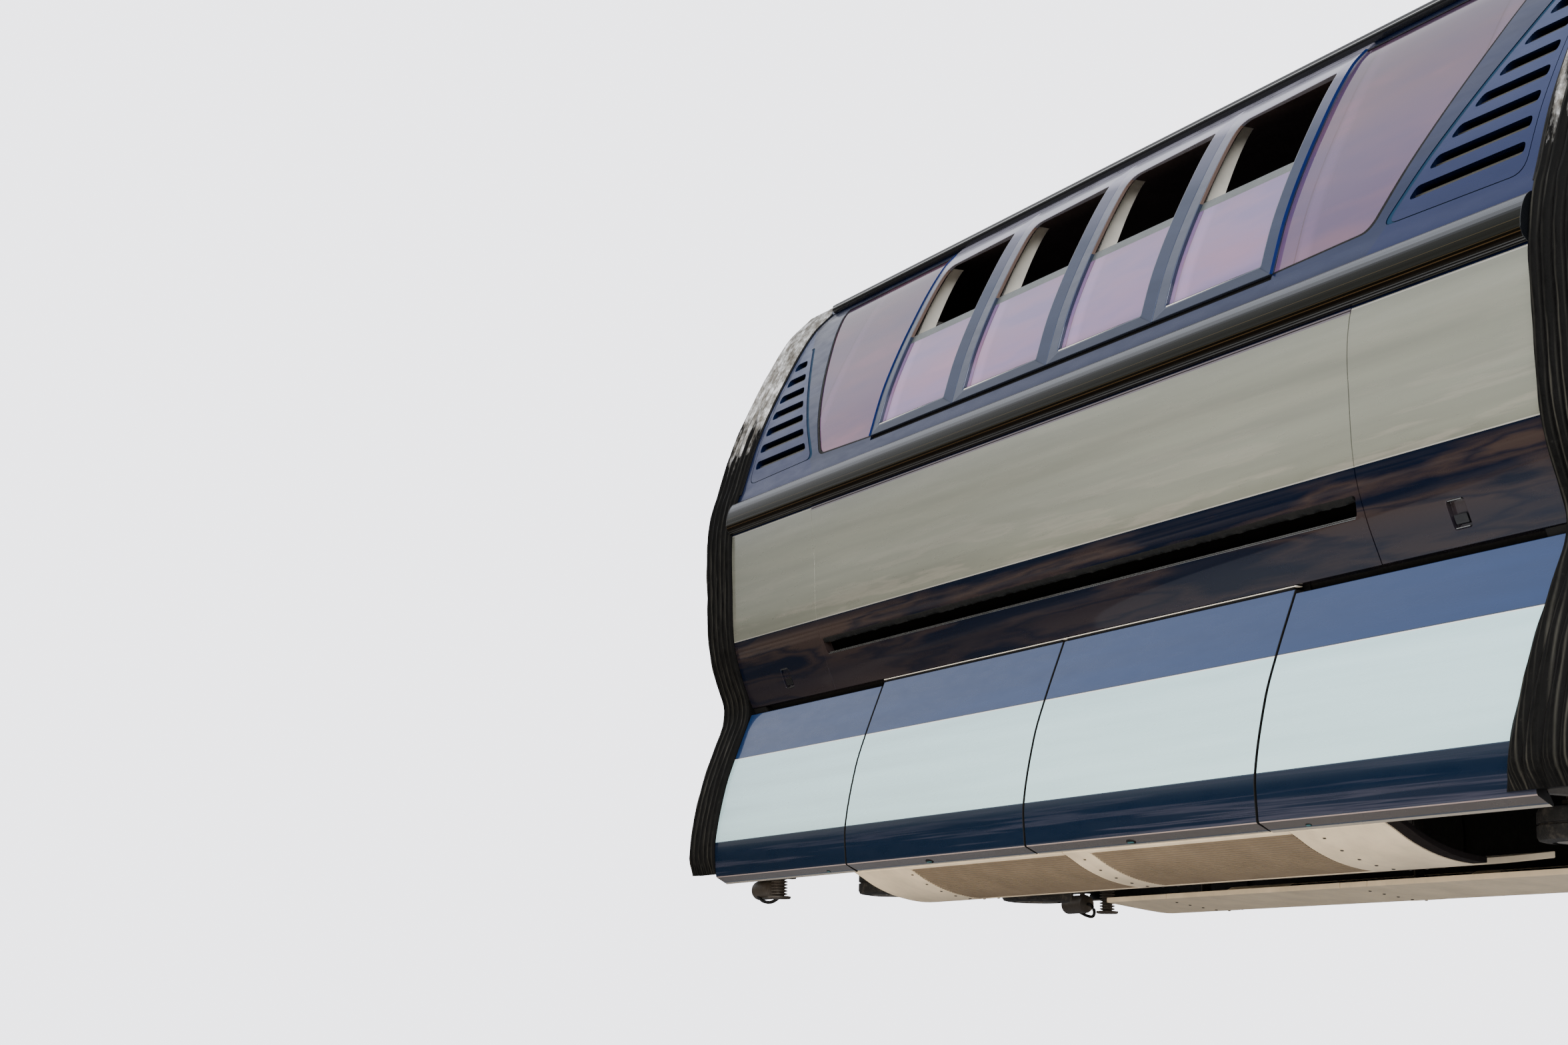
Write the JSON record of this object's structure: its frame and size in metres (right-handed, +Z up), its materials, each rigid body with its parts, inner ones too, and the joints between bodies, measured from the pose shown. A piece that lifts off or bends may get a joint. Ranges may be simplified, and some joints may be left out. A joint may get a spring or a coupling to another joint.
{
  "type": "straddle-beam monorail car",
  "caption": "Middle car of an articulated monorail train that rides astride a beam, with hinged skirt flaps, drop windows, bellows and wheeled bogies.",
  "frame": {"origin": "on the beam's running surface, at the middle of the car", "axes": "+X along the car, +Z up; the side without doors, seen in the picture, faces -Y"},
  "size_m": [7.1, 2.5142, 3.57],
  "materials": {
    "navy_paint": "high gloss metallic",
    "blue_paint": "high gloss metallic",
    "frame_paint": "satin metallic",
    "pearl_paint": "pearl gloss",
    "pale_paint": "gloss",
    "dark_trim": "glossy",
    "tinted_glass": "lilac tint, polished",
    "bellows_rubber": "satin",
    "cream_paint": "satin, dusty",
    "bogie_steel": "matt",
    "floor_covering": "ribbed, matt",
    "seat_fabric": "woven",
    "tyre_rubber": "matt"
  },
  "bodies": {
    "car_body": {"underframe": "bogie_steel", "floor_deck": "floor_covering", "roof_shell": "navy_paint", "centre_seat": "seat_fabric", "end_wall_left": "bogie_steel", "bellows_left": "bellows_rubber", "end_bench_left": "seat_fabric", "wheel_box_left": "floor_covering", "door_leaf_left": "pearl_paint", "end_wall_right": "bogie_steel", "bellows_right": "bellows_rubber", "end_bench_right": "seat_fabric", "wheel_box_right": "floor_covering", "door_leaf_right": "pearl_paint", "upper_side_near": "blue_paint", "window_frame_near": "frame_paint", "centre_panel_near": "pearl_paint", "belly_pan_near": "cream_paint", "fixed_window_near_left": "tinted_glass", "end_panel_near_left": "pearl_paint", "end_skirt_near_left": "pale_paint", "fixed_window_near_right": "tinted_glass", "end_panel_near_right": "pearl_paint", "end_skirt_near_right": "pale_paint", "upper_side_far": "blue_paint", "window_frame_far": "frame_paint", "centre_panel_far": "pearl_paint", "belly_pan_far": "cream_paint", "fixed_window_far_left": "tinted_glass", "end_panel_far_left": "pearl_paint", "end_skirt_far_left": "pale_paint", "fixed_window_far_right": "tinted_glass", "end_panel_far_right": "pearl_paint", "end_skirt_far_right": "pale_paint", "sash_windows_near": "tinted_glass", "sash_window_far_left": "tinted_glass", "sash_window_far_right": "tinted_glass", "belt_moulding_near": "dark_trim", "belt_moulding_far_left": "dark_trim", "belt_moulding_far_right": "dark_trim"},
    "skirt_flap_near_left": {"skirt_flap_near_left": "pale_paint"},
    "skirt_flap_near_right": {"skirt_flap_near_right": "pale_paint"},
    "skirt_flap_far_left": {"skirt_flap_far_left": "pale_paint"},
    "skirt_flap_far_right": {"skirt_flap_far_right": "pale_paint"},
    "bogie_frame_left": {"bogie_frame_left": "bogie_steel"},
    "load_wheels_left": {"load_wheels_left": "tyre_rubber"},
    "stabiliser_wheel_near_left": {"stabiliser_wheel_near_left": "tyre_rubber"},
    "guide_wheel_near_left_inner": {"guide_wheel_near_left_inner": "tyre_rubber"},
    "guide_wheel_near_left_outer": {"guide_wheel_near_left_outer": "tyre_rubber"},
    "stabiliser_wheel_far_left": {"stabiliser_wheel_far_left": "tyre_rubber"},
    "guide_wheel_far_left_inner": {"guide_wheel_far_left_inner": "tyre_rubber"},
    "guide_wheel_far_left_outer": {"guide_wheel_far_left_outer": "tyre_rubber"},
    "bogie_frame_right": {"bogie_frame_right": "bogie_steel"},
    "load_wheels_right": {"load_wheels_right": "tyre_rubber"},
    "stabiliser_wheel_near_right": {"stabiliser_wheel_near_right": "tyre_rubber"},
    "guide_wheel_near_right_inner": {"guide_wheel_near_right_inner": "tyre_rubber"},
    "guide_wheel_near_right_outer": {"guide_wheel_near_right_outer": "tyre_rubber"},
    "stabiliser_wheel_far_right": {"stabiliser_wheel_far_right": "tyre_rubber"},
    "guide_wheel_far_right_inner": {"guide_wheel_far_right_inner": "tyre_rubber"},
    "guide_wheel_far_right_outer": {"guide_wheel_far_right_outer": "tyre_rubber"}
  },
  "joints": [
    {"name": "skirt_flap_near_left_hinge", "type": "hinge", "parent": "car_body", "child": "skirt_flap_near_left", "pos_m": [-0.8525, -1.015, 0.122], "axis": [-1, 0, 0], "range_deg": [0, 70]},
    {"name": "skirt_flap_near_right_hinge", "type": "hinge", "parent": "car_body", "child": "skirt_flap_near_right", "pos_m": [0.8525, -1.015, 0.122], "axis": [-1, 0, 0], "range_deg": [0, 70]},
    {"name": "skirt_flap_far_left_hinge", "type": "hinge", "parent": "car_body", "child": "skirt_flap_far_left", "pos_m": [-0.8525, 1.015, 0.122], "axis": [1, 0, 0], "range_deg": [0, 70]},
    {"name": "skirt_flap_far_right_hinge", "type": "hinge", "parent": "car_body", "child": "skirt_flap_far_right", "pos_m": [0.8525, 1.015, 0.122], "axis": [1, 0, 0], "range_deg": [0, 70]},
    {"name": "bogie_yaw_left", "type": "hinge", "parent": "car_body", "child": "bogie_frame_left", "pos_m": [-2.65, 0, 0.2], "axis": [0, 0, 1], "range_deg": [-5, 5]},
    {"name": "load_axle_left", "type": "hinge", "parent": "bogie_frame_left", "child": "load_wheels_left", "pos_m": [-2.65, 0, 0.43], "axis": [0, 1, 0], "continuous": true},
    {"name": "stabiliser_wheel_near_left_spin", "type": "hinge", "parent": "bogie_frame_left", "child": "stabiliser_wheel_near_left", "pos_m": [-2.65, -0.445, -0.828], "axis": [0, 0, 1], "continuous": true},
    {"name": "guide_wheel_near_left_inner_spin", "type": "hinge", "parent": "bogie_frame_left", "child": "guide_wheel_near_left_inner", "pos_m": [-2.17, -0.445, -0.19], "axis": [0, 0, 1], "continuous": true},
    {"name": "guide_wheel_near_left_outer_spin", "type": "hinge", "parent": "bogie_frame_left", "child": "guide_wheel_near_left_outer", "pos_m": [-3.13, -0.445, -0.19], "axis": [0, 0, 1], "continuous": true},
    {"name": "stabiliser_wheel_far_left_spin", "type": "hinge", "parent": "bogie_frame_left", "child": "stabiliser_wheel_far_left", "pos_m": [-2.65, 0.445, -0.828], "axis": [0, 0, 1], "continuous": true},
    {"name": "guide_wheel_far_left_inner_spin", "type": "hinge", "parent": "bogie_frame_left", "child": "guide_wheel_far_left_inner", "pos_m": [-2.17, 0.445, -0.19], "axis": [0, 0, 1], "continuous": true},
    {"name": "guide_wheel_far_left_outer_spin", "type": "hinge", "parent": "bogie_frame_left", "child": "guide_wheel_far_left_outer", "pos_m": [-3.13, 0.445, -0.19], "axis": [0, 0, 1], "continuous": true},
    {"name": "bogie_yaw_right", "type": "hinge", "parent": "car_body", "child": "bogie_frame_right", "pos_m": [2.65, 0, 0.2], "axis": [0, 0, 1], "range_deg": [-5, 5]},
    {"name": "load_axle_right", "type": "hinge", "parent": "bogie_frame_right", "child": "load_wheels_right", "pos_m": [2.65, 0, 0.43], "axis": [0, 1, 0], "continuous": true},
    {"name": "stabiliser_wheel_near_right_spin", "type": "hinge", "parent": "bogie_frame_right", "child": "stabiliser_wheel_near_right", "pos_m": [2.65, -0.445, -0.828], "axis": [0, 0, 1], "continuous": true},
    {"name": "guide_wheel_near_right_inner_spin", "type": "hinge", "parent": "bogie_frame_right", "child": "guide_wheel_near_right_inner", "pos_m": [2.17, -0.445, -0.19], "axis": [0, 0, 1], "continuous": true},
    {"name": "guide_wheel_near_right_outer_spin", "type": "hinge", "parent": "bogie_frame_right", "child": "guide_wheel_near_right_outer", "pos_m": [3.13, -0.445, -0.19], "axis": [0, 0, 1], "continuous": true},
    {"name": "stabiliser_wheel_far_right_spin", "type": "hinge", "parent": "bogie_frame_right", "child": "stabiliser_wheel_far_right", "pos_m": [2.65, 0.445, -0.828], "axis": [0, 0, 1], "continuous": true},
    {"name": "guide_wheel_far_right_inner_spin", "type": "hinge", "parent": "bogie_frame_right", "child": "guide_wheel_far_right_inner", "pos_m": [2.17, 0.445, -0.19], "axis": [0, 0, 1], "continuous": true},
    {"name": "guide_wheel_far_right_outer_spin", "type": "hinge", "parent": "bogie_frame_right", "child": "guide_wheel_far_right_outer", "pos_m": [3.13, 0.445, -0.19], "axis": [0, 0, 1], "continuous": true}
  ]
}
